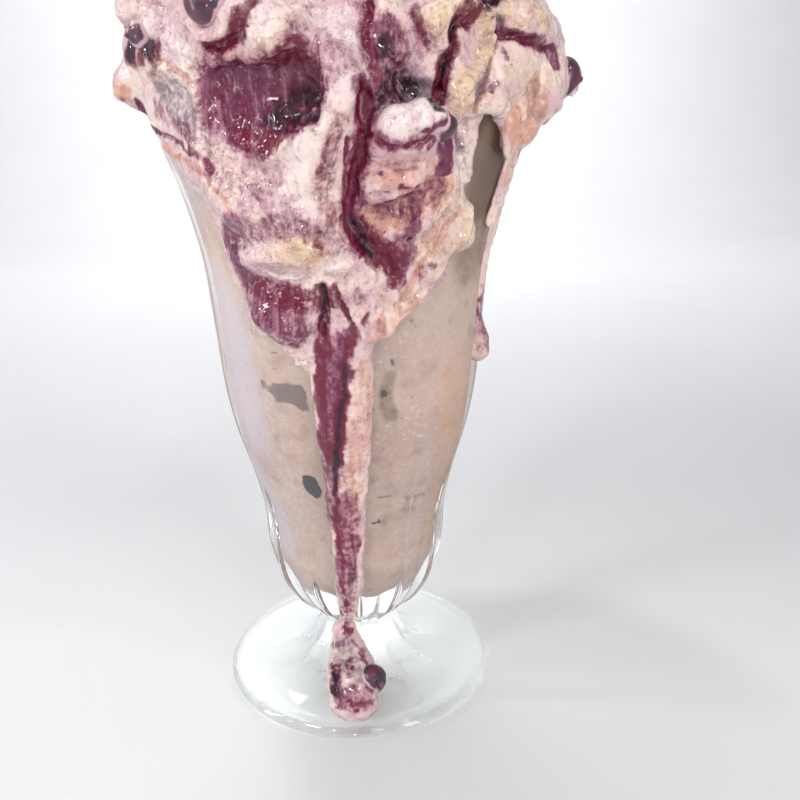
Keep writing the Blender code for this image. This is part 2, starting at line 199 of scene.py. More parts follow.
# Relief on the overflow: how far it stands out (or in, below 0), half width and places.
RELIEF = [
    # the big hollow on the left, with its pit
    (-3.4, 10.0, HOLLOW),
    (-2.4, 4.5, [(292, 106), (308, 95), (313, 110)]),
    (-1.6, 5.0, [(215, 92), (228, 112), (255, 130)]),
    (-1.6, 4.0, [(285, 62), (302, 57), (312, 72)]),
    (0.5, 0.9, [(213, 84), (222, 102), (236, 126)]),
    (0.4, 0.9, [(232, 84), (240, 104), (252, 128)]),
    # the ridges round it
    (2.2, 3.4, [(231, 54), (250, 57), (268, 42), (284, 24), (314, 6)]),
    (1.8, 4.4, [(352, 80), (336, 102), (318, 125), (298, 143), (268, 156)]),
    (0.9, 3.0, [(330, 50), (345, 62), (352, 80)]),
    # the long crease down the middle
    (-1.7, 2.1, CREASE),
    (-0.7, 0.8, [(350, 138), (345, 165), (344, 195)]),
    (-0.8, 1.5, UPPER_CREASE),
    # the dark pit over the lump, and the lump with its folds
    (-2.4, 4.8, [(392, 76), (406, 90)]),
    (-1.0, 4.0, [(388, 55), (402, 72)]),
    (-1.2, 2.4, [(422, 86), (436, 92)]),
    (2.2, 5.0, [(396, 123), (418, 113), (440, 117)]),
    (-0.9, 1.1, [(366, 128), (376, 141), (392, 148), (412, 147), (430, 139), (442, 128)]),
    (-0.9, 0.9, [(436, 105), (448, 120), (453, 134), (458, 152)]),
    (1.2, 2.8, [(372, 165), (402, 173), (436, 166)]),
    (-1.5, 1.3, [(372, 198), (392, 194), (420, 188), (452, 176)]),
    # the cavity under them
    (-2.6, 5.6, [(374, 222), (394, 214), (416, 203)]),
    (0.9, 3.0, [(378, 222), (394, 217)]),
    (-0.8, 0.9, [(407, 241)]),
    (-2.2, 3.2, [(366, 243), (382, 257), (392, 274)]),
    # the right edge of the drape
    (1.3, 2.0, [(459, 165), (468, 200), (466, 232), (446, 252), (432, 280), (412, 304), (385, 333)]),
    (-0.9, 1.1, [(452, 196), (446, 224), (436, 245), (422, 268), (402, 300)]),
    # the knobbly lobe round its slit
    (2.9, 3.6, LOBE),
    (1.2, 1.5, [(427, 15), (434, 32), (438, 46)]),
    (-3.2, 2.1, [(468, 18), (456, 22), (453, 34), (456, 46), (447, 60), (442, 76), (440, 95)]),
    (-0.7, 1.0, [(417, 15), (422, 32), (425, 50)]),
    (-2.6, 1.6, [(482, 3), (496, 3)]),
    (-1.5, 1.3, LOBE_SHADOW),
    # the right overhang
    (1.4, 5.0, [(502, 10), (520, 14), (540, 24)]),
    (-1.8, 1.5, [(500, 34), (520, 37), (537, 45), (549, 53), (556, 64)]),
    (1.3, 1.7, [(533, 60), (547, 68), (555, 90), (557, 114), (553, 132)]),
    (-2.0, 3.2, [(533, 84), (534, 104), (535, 118)]),
    (0.8, 1.8, [(511, 72), (517, 95), (520, 115)]),
    # the left overhang
    (-0.7, 0.9, LEFT_LINE),
    (0.8, 1.4, [(134, 110), (142, 127), (153, 139), (166, 149), (184, 160)]),
    (-1.1, 4.4, [(163, 86), (181, 102)]),
    (-0.9, 1.0, LEFT_FOLD),
    # the cream round the berry on top, and the smear beside it
    (1.3, 1.5, [(184, 13), (190, 27), (199, 36), (211, 38), (224, 30), (233, 14)]),
    (-1.6, 1.7, SMEAR),
    # the folds low in the middle
    (0.9, 2.4, [(285, 249), (302, 246), (319, 251)]),
    (0.8, 0.9, [(265, 270), (290, 279), (318, 268), (333, 257)]),
    (-0.8, 0.9, [(262, 277), (288, 287), (318, 277)]),
    (-0.5, 1.8, [(242, 228), (264, 227), (286, 223), (306, 226), (325, 240)]),
    (1.4, 2.2, [(322, 226), (344, 239), (357, 252), (350, 264), (335, 272)]),
    (-1.5, 1.3, [(364, 262), (351, 274), (337, 282), (326, 278)]),
    (-2.0, 2.2, [(322, 292), (325, 310), (322, 330)]),
    (1.5, 5.0, [(262, 318), (285, 334)]),
    (0.8, 1.1, [(253, 325), (266, 345), (288, 359), (308, 363)]),
    # the curled tip
    (1.8, 1.9, [(363, 312), (359, 328), (368, 337), (379, 330), (382, 318)]),
    (-1.3, 0.9, [(336, 290), (346, 310), (354, 328)]),
    (-0.6, 1.4, [(268, 286), (296, 296), (320, 300)]),
    # the long drip's notched edge and its neck
    (-0.5, 0.8, [(350, 370), (343, 410), (338, 460), (337, 520)]),
    (-1.5, 5.0, [(345, 604), (345, 617)]),
    (-0.9, 0.8, [(366, 318), (364, 327)]),
    (1.0, 2.4, [(364, 290), (373, 303)]),
]

# Small knobs and pits, each on its own: how far it stands out (or in, below 0), half width and places.
KNOBS = [
    (1.1, 1.2, [(197, 55), (206, 51), (215, 57), (223, 53), (203, 62), (212, 66), (226, 63), (191, 64)]),
    (0.9, 1.0, [(437, 18), (446, 10), (459, 7), (470, 8), (481, 17), (488, 27)]),
    (0.9, 1.0, [(485, 40), (481, 52), (474, 62), (466, 73), (474, 79), (461, 86)]),
    (0.9, 1.0, [(469, 92), (455, 97), (463, 104), (478, 70), (478, 92)]),
    (0.6, 0.8, [(290, 84), (300, 78), (311, 84), (286, 97), (298, 92), (316, 96), (304, 108), (262, 84)]),
    (0.7, 1.0, [(330, 62), (340, 72), (327, 78), (344, 88), (333, 90), (322, 98), (350, 70), (338, 56)]),
    (0.5, 0.6, [(312, 436), (314, 444), (316, 452), (318, 460)]),
    (0.5, 0.6, [(319, 468), (321, 478), (322, 490), (323, 502)]),
    (-0.9, 0.5, [(370, 195), (537, 74), (248, 26), (319, 134)]),
    (-0.9, 0.5, [(336, 227), (388, 195), (345, 132), (340, 240)]),
]

# Stains on the overflow, and light and shade painted with them: what it is, how strong, half width and
# places.
STAINS = [
    # the big hollow
    ("juice", 1.0, 9.6, HOLLOW),
    ("juice", 0.8, 5.0, [(215, 88), (228, 115), (255, 138)]),
    ("crimson", 0.8, 3.6, [(280, 62), (298, 56), (312, 72)]),
    # painted shade: darker on the hollow's right and lower side, over its dark juice
    ("dark", 0.55, 4.2, [(284, 116), (298, 104), (312, 90)]),
    ("dark", 0.5, 2.0, [(262, 122), (280, 118), (306, 100), (318, 74)]),
    ("crimson", 0.6, 5.0, [(286, 108), (300, 96), (312, 84)]),
    ("dark", 0.7, 1.8, [(290, 120), (304, 118), (315, 108)]),
    ("crimson", 0.8, 2.8, [(235, 136), (257, 147), (280, 133), (303, 126)]),
    ("crimson", 0.7, 0.8, [(207, 88), (217, 105), (231, 124)]),
    ("crimson", 0.6, 0.8, [(222, 78), (233, 100), (243, 122)]),
    # the cream round it
    ("custard", 0.6, 2.6, [(229, 54), (243, 60), (256, 55)]),
    ("custard", 0.4, 2.4, [(256, 52), (270, 38), (284, 22)]),
    ("milk_and_painted_light", 0.55, 4.0, [(246, 34), (262, 20), (286, 8)]),
    ("milk_and_painted_light", 0.7, 3.6, [(346, 86), (334, 106), (316, 132), (298, 162), (292, 190), (302, 214)]),
    ("peach_bounce_and_shade", 0.55, 2.4, [(338, 118), (328, 150), (322, 190), (336, 226)]),
    ("juice", 0.35, 4.0, [(300, 34), (322, 44), (342, 58)]),
    ("milk_and_painted_light", 0.7, 4.4, [(326, 16), (346, 26), (352, 40)]),
    ("crimson", 1.0, 2.0, SMEAR),
    ("bubbly", 1.0, 4.0, [(152, 12), (166, 30), (188, 46), (210, 56), (226, 60)]),
    ("bubbly", 0.8, 8.0, [(235, 90), (285, 75), (300, 105)]),
    ("bubbly", 0.8, 5.0, [(320, 30), (340, 55), (340, 85)]),
    ("bubbly", 0.7, 7.0, [(212, 140), (240, 170), (270, 190)]),
    ("milk_and_painted_light", 0.7, 5.0, [(158, 28), (170, 44), (180, 60)]),
    ("peach_bounce_and_shade", 0.5, 2.0, [(196, 74), (204, 66), (220, 72)]),
    # the left overhang
    ("milk_and_painted_light", 0.8, 2.8, [(126, 66), (134, 86), (153, 107), (178, 121)]),
    ("ash_and_shade", 0.6, 5.0, [(158, 82), (176, 98), (190, 112)]),
    ("juice", 0.9, 1.0, LEFT_LINE),
    ("juice", 0.55, 2.4, [(156, 108), (177, 123), (192, 140)]),
    # painted warm bounce light along the overhang's lower edge
    ("peach_bounce_and_shade", 1.0, 1.1, [(134, 112), (150, 138), (175, 153), (196, 169), (206, 178), (223, 198), (232, 215)]),
    ("peach_bounce_and_shade", 0.8, 1.3, LEFT_FOLD),
    ("peach_bounce_and_shade", 1.0, 2.6, [(123, 92)]),
    ("dark", 1.0, 2.4, [(130, 50), (140, 44), (150, 50)]),
    ("crimson", 0.9, 3.2, [(128, 54), (142, 50), (154, 52)]),
    ("crimson", 0.4, 1.6, [(124, 98)]),
    ("crimson", 0.7, 1.2, [(190, 146), (200, 158), (212, 172)]),
    # the long crease, the pit over the lump and the lump
    ("crimson", 1.0, 1.7, CREASE),
    ("juice", 0.75, 3.3, CREASE),
    ("crimson", 0.85, 1.2, UPPER_CREASE),
    ("juice", 0.55, 2.6, [*UPPER_CREASE, (364, 110)]),
    ("crimson", 0.9, 0.7, [(350, 140), (345, 165), (344, 195)]),
    ("juice", 0.75, 5.0, [(384, 36), (390, 60), (394, 84)]),
    ("ash_and_shade", 0.5, 5.0, [(384, 56), (400, 72), (410, 88)]),
    # painted shade in the pit over the lump, over its dark juice
    ("dark", 0.75, 3.2, [(393, 82), (408, 94)]),
    ("dark", 0.5, 2.6, [(386, 46), (390, 64), (392, 84), (384, 100)]),
    ("ash_and_shade", 1.0, 2.8, [(418, 84), (437, 92)]),
    ("milk_and_painted_light", 1.0, 4.0, [(396, 122), (418, 110), (440, 112)]),
    ("dark", 0.8, 1.3, [(428, 107), (440, 108)]),
    ("crimson", 1.0, 1.0, [(366, 128), (376, 141), (392, 148), (412, 147), (428, 140)]),
    ("juice", 0.6, 2.2, [(372, 136), (392, 146), (416, 144)]),
    ("ash_and_shade", 1.0, 1.3, [(436, 105), (448, 120), (454, 136), (458, 150)]),
    ("juice", 1.0, 2.6, [(437, 130), (445, 150), (442, 168)]),
    ("crimson", 0.6, 1.0, [(426, 124), (424, 134), (430, 146)]),
    ("peach_bounce_and_shade", 0.6, 4.0, [(376, 172), (404, 178), (440, 168)]),
    ("juice", 0.3, 3.0, [(384, 168), (420, 166)]),
    ("crimson", 0.8, 0.8, [(400, 190), (420, 188)]),
    # the cavity
    ("peach_bounce_and_shade", 1.0, 5.0, [(374, 222), (396, 214), (420, 201), (438, 189)]),
    ("juice", 0.6, 4.4, [(388, 208), (412, 201), (432, 190)]),
    ("juice", 0.9, 2.0, [(418, 200), (416, 222), (408, 238)]),
    ("dark", 1.0, 0.9, [(407, 241)]),
    ("crimson", 1.0, 3.8, [(358, 234), (374, 248), (390, 258)]),
    ("crimson", 0.9, 2.8, [(392, 262), (397, 280)]),
    ("juice", 0.8, 3.4, [(404, 246), (402, 262)]),
    ("dark", 0.7, 1.6, [(355, 226), (362, 243), (372, 252)]),
    # the right edge of the drape
    ("custard", 0.6, 3.0, [(468, 196), (467, 232), (448, 250)]),
    # painted warm bounce light in a thin line along the drape's edge
    ("peach_bounce_and_shade", 0.9, 1.1, [(461, 210), (446, 226), (440, 238), (426, 260), (414, 281), (397, 306)]),
    ("custard", 0.35, 6.0, DRAPE_SIDE),
    ("ash_and_shade", 0.3, 6.0, DRAPE_SIDE),
    ("peach_bounce_and_shade", 0.5, 3.0, [(452, 196), (440, 222), (424, 250)]),
    ("juice", 0.4, 1.6, [(420, 276), (428, 268)]),
    ("peach_bounce_and_shade", 0.7, 1.6, [(412, 300), (392, 322)]),
    # the knobbly lobe
    ("custard", 0.75, 3.4, LOBE),
    ("custard", 0.9, 1.8, [(477, 91), (468, 85)]),
    # painted shadow: a brown and a grey line along the lobe's right edge, where it lies over the overhang
    ("peach_bounce_and_shade", 1.0, 1.3, LOBE_SHADOW),
    ("ash_and_shade", 0.8, 1.2, [(498, 18), (494, 44), (489, 62), (484, 80), (478, 100)]),
    ("bubbly", 1.0, 4.0, LOBE),
    ("crimson", 1.0, 2.1, [(470, 17), (456, 21), (453, 34), (456, 46), (447, 60), (442, 76), (440, 96)]),
    ("dark", 0.7, 1.2, [(456, 22), (453, 34), (454, 46), (447, 60), (443, 72)]),
    ("crimson", 0.8, 0.8, [(417, 10), (416, 26), (422, 46)]),
    ("juice", 0.6, 2.0, [(417, 10), (417, 26), (424, 50)]),
    ("dark", 1.0, 1.5, [(482, 3), (498, 3)]),
    ("crimson", 0.8, 1.2, [(482, 8), (476, 3)]),
    # the right overhang
    ("custard", 0.55, 6.0, [(500, 10), (520, 14), (536, 26)]),
    ("juice", 0.4, 2.6, [(549, 6), (561, 28), (566, 50)]),
    ("juice", 0.9, 2.0, [(500, 33), (520, 37), (540, 44), (556, 60)]),
    ("crimson", 0.7, 0.9, [(512, 36), (530, 41), (549, 53)]),
    ("juice", 0.8, 0.9, [(505, 48), (510, 58)]),
    ("juice", 0.6, 0.9, [(489, 91), (499, 84)]),
    ("custard", 0.3, 4.0, [(500, 60), (522, 70), (545, 76)]),
    ("ash_and_shade", 0.2, 5.0, [(505, 66), (525, 74), (545, 80)]),
    # painted shade in the overhang's hollow, and painted warm bounce light under its edge
    ("peach_bounce_and_shade", 0.8, 4.0, [(534, 90), (535, 116)]),
    ("ash_and_shade", 0.4, 3.0, [(536, 90), (536, 116)]),
    ("peach_bounce_and_shade", 0.9, 3.4, [(512, 112), (520, 132), (550, 134)]),
    ("peach_bounce_and_shade", 0.7, 2.4, [(510, 128), (514, 150), (506, 180)]),
    ("peach_bounce_and_shade", 0.35, 4.0, SIDE_DRIP),
    ("milk_and_painted_light", 0.6, 4.0, SIDE_DRIP),
    ("ash_and_shade", 0.3, 3.0, [(456, 118), (464, 140), (458, 165)]),
    # the folds low in the middle
    ("juice", 0.3, 8.0, [(215, 160), (245, 182), (275, 200)]),
    ("juice", 0.4, 3.2, [(340, 126), (328, 160), (322, 195), (330, 220)]),
    ("ash_and_shade", 0.3, 3.0, [(336, 130), (324, 170), (320, 200)]),
    ("custard", 0.9, 3.4, [(287, 249), (303, 247), (318, 252)]),
    ("peach_bounce_and_shade", 0.5, 1.6, [(272, 252), (280, 262), (300, 266), (326, 256)]),
    ("juice", 0.55, 4.2, [(238, 232), (262, 230), (285, 226), (306, 230), (330, 244)]),
    ("juice", 1.0, 3.2, [(232, 222), (232, 246), (242, 270), (260, 288), (292, 298)]),
    ("crimson", 0.75, 3.2, [(262, 288), (296, 300), (332, 300)]),
    # painted highlights: thin white lines along the lower lips of the folds
    ("milk_and_painted_light", 0.9, 0.9, [(262, 268), (282, 277), (300, 274)]),
    ("milk_and_painted_light", 0.9, 0.9, [(304, 281), (326, 273), (343, 264)]),
    ("milk_and_painted_light", 0.7, 0.5, [(236, 232), (244, 252), (256, 268)]),
    ("milk_and_painted_light", 0.7, 0.5, [(246, 236), (256, 256), (270, 264)]),
    ("milk_and_painted_light", 0.6, 2.0, [(330, 232), (352, 246), (354, 262), (336, 272)]),
    ("crimson", 0.9, 1.8, [(321, 290), (325, 306), (322, 330), (319, 360)]),
    # painted shade in the crotch under the crease, over its crimson
    ("dark", 0.7, 1.2, [(320, 286), (326, 300), (322, 318)]),
    ("juice", 0.75, 7.0, [(258, 306), (286, 330)]),
    # painted highlight along the lower lobe's bottom edge
    ("milk_and_painted_light", 0.8, 0.9, [(262, 346), (286, 361), (308, 364)]),
    # the curled tip
    ("milk_and_painted_light", 0.5, 1.4, [(364, 290), (373, 304)]),
    ("juice", 0.3, 4.5, [(362, 300), (370, 322)]),
    ("custard", 0.5, 1.6, [(380, 286), (384, 296)]),
    ("crimson", 0.9, 0.8, [(334, 286), (346, 310), (355, 329)]),
    ("crimson", 0.8, 0.8, [(366, 312), (364, 324)]),
    ("peach_bounce_and_shade", 0.7, 1.4, [(381, 316), (379, 331), (368, 338)]),
    # the long drip
    ("crimson", 0.9, 1.9, [(325, 320), (326, 347), (321, 377), (320, 400), (323, 430), (327, 460)]),
    ("crimson", 1.0, 1.9, [(352, 335), (347, 365), (342, 398), (339, 430), (336, 462)]),
    ("crimson", 1.0, 1.2, [(336, 462), (335, 492), (337, 522), (341, 560)]),
    ("dark", 0.75, 1.0, [(347, 365), (342, 398), (339, 430), (336, 462), (335, 492)]),
    ("juice", 0.75, 4.2, [(335, 345), (331, 390), (330, 430), (330, 470), (331, 520)]),
    ("peach_bounce_and_shade", 0.6, 3.6, [(366, 370), (361, 430), (353, 480), (350, 540)]),
    ("ash_and_shade", 0.25, 3.0, [(366, 380), (360, 430), (352, 480)]),
    ("juice", 0.8, 1.1, [(355, 536), (355, 565), (349, 595)]),
    ("juice", 0.6, 3.8, [(346, 500), (346, 560), (345, 610)]),
    ("crimson", 0.8, 1.0, [(341, 560), (344, 590), (345, 610), (346, 626)]),
    # where the cream lies smooth
    ("satin", 1.0, 6.0, [(515, 62), (540, 80), (545, 118)]),
    ("satin", 1.0, 5.0, [(516, 110), (512, 140), (505, 180)]),
    ("satin", 1.0, 4.0, [(494, 220), (484, 262), (478, 300), (479, 345)]),
    ("satin", 1.0, 5.0, [(458, 172), (450, 215), (430, 250), (410, 290), (385, 330)]),
    ("satin", 0.9, 5.4, [(346, 104), (326, 150), (320, 190), (330, 225)]),
    ("satin", 0.9, 5.0, [(392, 165), (432, 165)]),
    ("satin", 0.9, 4.0, [(366, 380), (360, 430), (352, 480), (350, 560), (346, 606)]),
    ("satin", 0.8, 3.0, [(126, 66), (140, 100), (170, 124)]),
    ("satin", 0.9, 3.0, [(372, 300), (370, 328)]),
    # the blob on the foot
    ("crimson", 0.9, 1.6, [(343, 631), (350, 633)]),
    ("juice", 0.6, 1.2, [(332, 646), (351, 642), (363, 652)]),
    ("ash_and_shade", 0.6, 4.0, [(340, 642), (346, 660), (352, 676)]),
    ("satin", 0.7, 6.0, [(345, 640), (350, 700)]),
    ("bubbly", 0.4, 5.0, [(345, 650), (352, 690)]),
    ("dark", 0.8, 1.0, [(333, 664), (335, 680), (335, 692)]),
    ("juice", 0.9, 1.8, [(336, 668), (337, 690), (345, 704)]),
    ("juice", 0.6, 1.4, [(350, 662), (350, 676)]),
    ("juice", 0.8, 1.4, [(362, 654), (366, 668), (372, 694)]),
    ("milk_and_painted_light", 0.4, 1.8, [(338, 714), (352, 718), (368, 706)]),
    ("juice", 0.6, 4.0, [(345, 698), (362, 698)]),
]

# Small dark spots on the overflow: what they are, half width and places.
SPOTS = [
    ("crimson", 0.9, [(329, 500), (327, 512), (329, 529), (332, 541), (326, 486), (324, 470), (331, 556)]),
    ("crimson", 0.8, [(356, 710), (360, 706), (354, 705), (352, 668), (348, 674), (380, 175), (425, 127)]),
    ("dark", 0.6, [(370, 195), (537, 74), (248, 26), (319, 134), (388, 195), (367, 321)]),
]

# What shows through the glass against the shake, and light and shade painted on it: what it is, how strong,
# half width and places.
FILL_STAINS = [
    ("ash_and_shade", 1.0, 1.3, [(267, 384), (285, 388), (304, 391)]),
    ("ash_and_shade", 1.0, 1.9, [(284, 393), (296, 398), (305, 404)]),
    ("bits", 1.0, 2.6, [(311, 476), (316, 486)]),
    ("bits", 1.0, 1.2, [(224, 356), (226, 367)]),
    ("bits", 0.9, 1.0, [(393, 362)]),
    ("bits", 1.0, 1.1, [(383, 393)]),
    ("shade", 0.6, 2.4, [(388, 376), (384, 394), (391, 416)]),
    ("ash_and_shade", 0.5, 1.4, [(410, 321)]),
    ("juice", 0.7, 1.1, [(378, 492), (388, 491)]),
    ("juice", 0.7, 1.0, [(404, 491), (415, 489)]),
    ("shade", 0.35, 3.0, [(386, 512), (400, 506)]),
    ("shade", 0.3, 2.6, [(400, 540), (414, 534)]),
    ("bits", 0.8, 1.0, [(370, 518), (376, 516)]),
    # painted warm bounce light and shade on the shake's right side
    ("peach_bounce_and_shade", 0.55, 9.0, [(450, 376), (446, 420), (438, 470), (426, 520)]),
    # painted shade under the overflow's arch
    ("shade", 1.0, 9.0, [(488, 130), (486, 160), (482, 190)]),
    ("shade", 0.5, 8.0, [(478, 210), (466, 260)]),
    # painted light: the paler, cooler left side where the light falls
    ("milk_and_painted_light", 0.8, 11.0, [(190, 190), (210, 250), (234, 330), (254, 420), (280, 520)]),
]

CREAM_FIELDS = ("juice", "crimson", "dark", "ash_and_shade", "custard", "milk_and_painted_light", "peach_bounce_and_shade", "bubbly", "satin")
FILL_FIELDS = ("juice", "bits", "ash_and_shade", "shade", "peach_bounce_and_shade", "milk_and_painted_light")

# ------------------------------------------------------------------ sums on points


def around(angle, radius, height):
    """The point at this angle round the glass, distance from its axis and height, in metres."""
    turn = math.radians(angle)
    return Vector((radius * math.sin(turn), -radius * math.cos(turn), height)) * MM


def between(rows, at):
    """A smooth curve through rows of numbers, read at a place counted in rows."""
    last = len(rows) - 1
    i = min(int(at), last - 1)
    t = at - i
    near = [rows[max(0, min(last, i + k))] for k in (-1, 0, 1, 2)]
    return [
        0.5 * (2 * b + (c - a) * t + (2 * a - 5 * b + 4 * c - d) * t**2 + (3 * b - a - 3 * c + d) * t**3)
        for a, b, c, d in zip(*near)
    ]


def along(rows, steps):
    """The smooth curve through rows, with so many steps from each row to the next."""
    places = (len(rows) - 1) * steps
    return np.array([between(rows, i / steps) for i in range(places + 1)])


def soft_step(x):
    """0 below 0, 1 above 1 and smooth between."""
    x = np.clip(x, 0.0, 1.0)
    return x * x * (3.0 - 2.0 * x)


def polar(points):
    """Angle, distance from the axis and height of points given in millimetres."""
    angle = np.degrees(np.arctan2(points[:, 0], -points[:, 1]))
    return angle, np.hypot(points[:, 0], points[:, 1]), points[:, 2]


def from_polar(angle, radius, height):
    """Points from their angles, distances from the axis and heights."""
    turn = np.radians(angle)
    return np.column_stack((radius * np.sin(turn), -radius * np.cos(turn), height))


def camera_turn():
    """Which way the camera looks."""
    turn = Matrix.Rotation(math.radians(-CAMERA_YAW), 4, "Z")
    tilt = Matrix.Rotation(math.radians(90 + CAMERA_PITCH), 4, "X")
    return turn @ tilt @ Matrix.Rotation(math.radians(CAMERA_ROLL), 4, "Z")


OUTER_CURVE = along(OUTER_WALL, ROW_STEPS)
INNER_CURVE = along(INNER_WALL, ROW_STEPS)
BELLY = OUTER_CURVE[WAIST_ROW * ROW_STEPS :]
FOOT_TOP = OUTER_CURVE[FOOT_TOP_ROW * ROW_STEPS : WAIST_ROW * ROW_STEPS + 1][::-1]


def flute(angle, height):
    """How far the glass lies inside its ribs' crests, at full depth and the fluted radius."""
    pitch = 360 / RIBS
    off_rib = np.abs((angle + pitch / 2) % pitch - pitch / 2)
    bead = RIB_HEIGHT * soft_step(off_rib / RIB_HALF_WIDTH)
    sag = FLUTE_SAG * np.sin(np.pi * off_rib / pitch) ** 2
    arch = ARCH_TOP - ARCH_DROP * np.cos(np.pi * off_rib / pitch) ** 2
    return (bead + sag) * soft_step((arch - height) / ARCH_FADE)


def wall(angle, height):
    """Radius of the glass's outer wall above the waist."""
    radius = np.interp(height, BELLY[:, 1], BELLY[:, 0])
    share = np.interp(height, BELLY[:, 1], BELLY[:, 2])
    return radius - share * flute(angle, height) * radius / FLUTED_RADIUS


def bore(height):
    """Radius of the glass's inner wall."""
    return np.interp(height, INNER_CURVE[::-1, 1], INNER_CURVE[::-1, 0])


# ------------------------------------------------------------------ meshes


def points_of(mesh):
    """A mesh's points in millimetres."""
    flat = np.empty(len(mesh.vertices) * 3)
    mesh.vertices.foreach_get("co", flat)
    return flat.reshape(-1, 3) / MM


def move_points(mesh, points):
    mesh.vertices.foreach_set("co", (points * MM).ravel())
    mesh.update()


def normals_of(mesh):
    flat = np.empty(len(mesh.vertices) * 3)
    mesh.vertex_normals.foreach_get("vector", flat)
    return flat.reshape(-1, 3)


def piece(name, mesh, look, node):
    """A finished piece that stands for a node of the frame."""
    mesh.name = name
    mesh.materials.clear()
    mesh.materials.append(look)
    mesh.shade_smooth()
    made = bpy.data.objects.new(name, mesh)
    bpy.context.scene.collection.objects.link(made)
    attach(made, "root")
    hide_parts(node)
    return made


def surface_of(mesh):
    """A tree to ask where a mesh's surface is, in metres."""
    return BVHTree.FromPolygons([v.co for v in mesh.vertices], [p.vertices for p in mesh.polygons])


def to_mesh(bm, name):
    """The mesh of a bmesh, which is then gone, with its faces pointing out."""
    bmesh.ops.recalc_face_normals(bm, faces=bm.faces)
    mesh = bpy.data.meshes.new(name)
    bm.to_mesh(mesh)
    bm.free()
    return mesh


def with_modifiers(mesh, *steps):
    """The mesh after these modifiers, each a type and its settings."""
    holder = bpy.data.objects.new("holder", mesh)
    bpy.context.scene.collection.objects.link(holder)
    for kind, settings in steps:
        modifier = holder.modifiers.new(kind.lower(), kind)
        for key, value in settings.items():
            setattr(modifier, key, value)
    made = bpy.data.meshes.new_from_object(holder.evaluated_get(bpy.context.evaluated_depsgraph_get()))
    bpy.data.objects.remove(holder)
    return made


def turned(curve, columns):
    """A bmesh turned about the Z axis from radii and heights. Ends on the axis close into poles."""
    bm = bmesh.new()
    verts = [bm.verts.new((radius * MM, 0, height * MM)) for radius, height in curve]
    edges = [bm.edges.new(pair) for pair in zip(verts, verts[1:])]
    bmesh.ops.spin(
        bm,
        geom=verts + edges,
        cent=(0, 0, 0),
        axis=(0, 0, 1),
        angle=2 * math.pi,
        steps=columns,
        use_merge=True,
    )
    bmesh.ops.remove_doubles(bm, verts=bm.verts, dist=0.005 * MM)
    return bm


def bead(bm, place, half_width, half_depth):
    """A closed ball at a place in millimetres, flattened towards the axis."""
    angle = math.atan2(place[0], -place[1])
    turn = Matrix.Translation(Vector(place) * MM) @ Matrix.Rotation(angle, 4, "Z")
    sizes = Matrix.Diagonal((half_width * MM, half_depth * MM, half_width * MM, 1))
    bmesh.ops.create_icosphere(bm, subdivisions=3, radius=1, matrix=turn @ sizes)


def strand(bm, tree, half_width, half_depth, lift, path):
    """A run of balls along a path over what carries it, close enough to melt together."""
    length = sum(math.dist(a, b) for a, b in zip(path, path[1:]))
    steps = math.ceil(length / half_width / 1.2)
    for i in range(steps + 1):
        place = seen(tree, *between(path, (len(path) - 1) * i / steps))
        outwards = place * [1, 1, 0] / math.hypot(place[0], place[1])
        bead(bm, place + outwards * lift, half_width, half_depth)


# ------------------------------------------------------------------ materials


class Shade:
    """A shader socket. Python's operators on it add Math nodes."""

    def __init__(self, look, socket):
        self.look = look
        self.socket = socket

    def sum(self, operation, *values):
        return self.look.node("ShaderNodeMath", {"operation": operation}, dict(enumerate(values)))

    def __add__(self, other):
        return self.sum("ADD", self, other)

    def __sub__(self, other):
        return self.sum("SUBTRACT", self, other)

    def __mul__(self, other):
        return self.sum("MULTIPLY", self, other)

    def __rsub__(self, other):
        return self.sum("SUBTRACT", other, self)

    __radd__ = __add__
    __rmul__ = __mul__

    def edge(self, low, high):
        """0 below low, 1 above high and smooth between."""
        settings = {"interpolation_type": "SMOOTHSTEP"}
        return self.look.node("ShaderNodeMapRange", settings, {"Value": self, 1: low, 2: high})


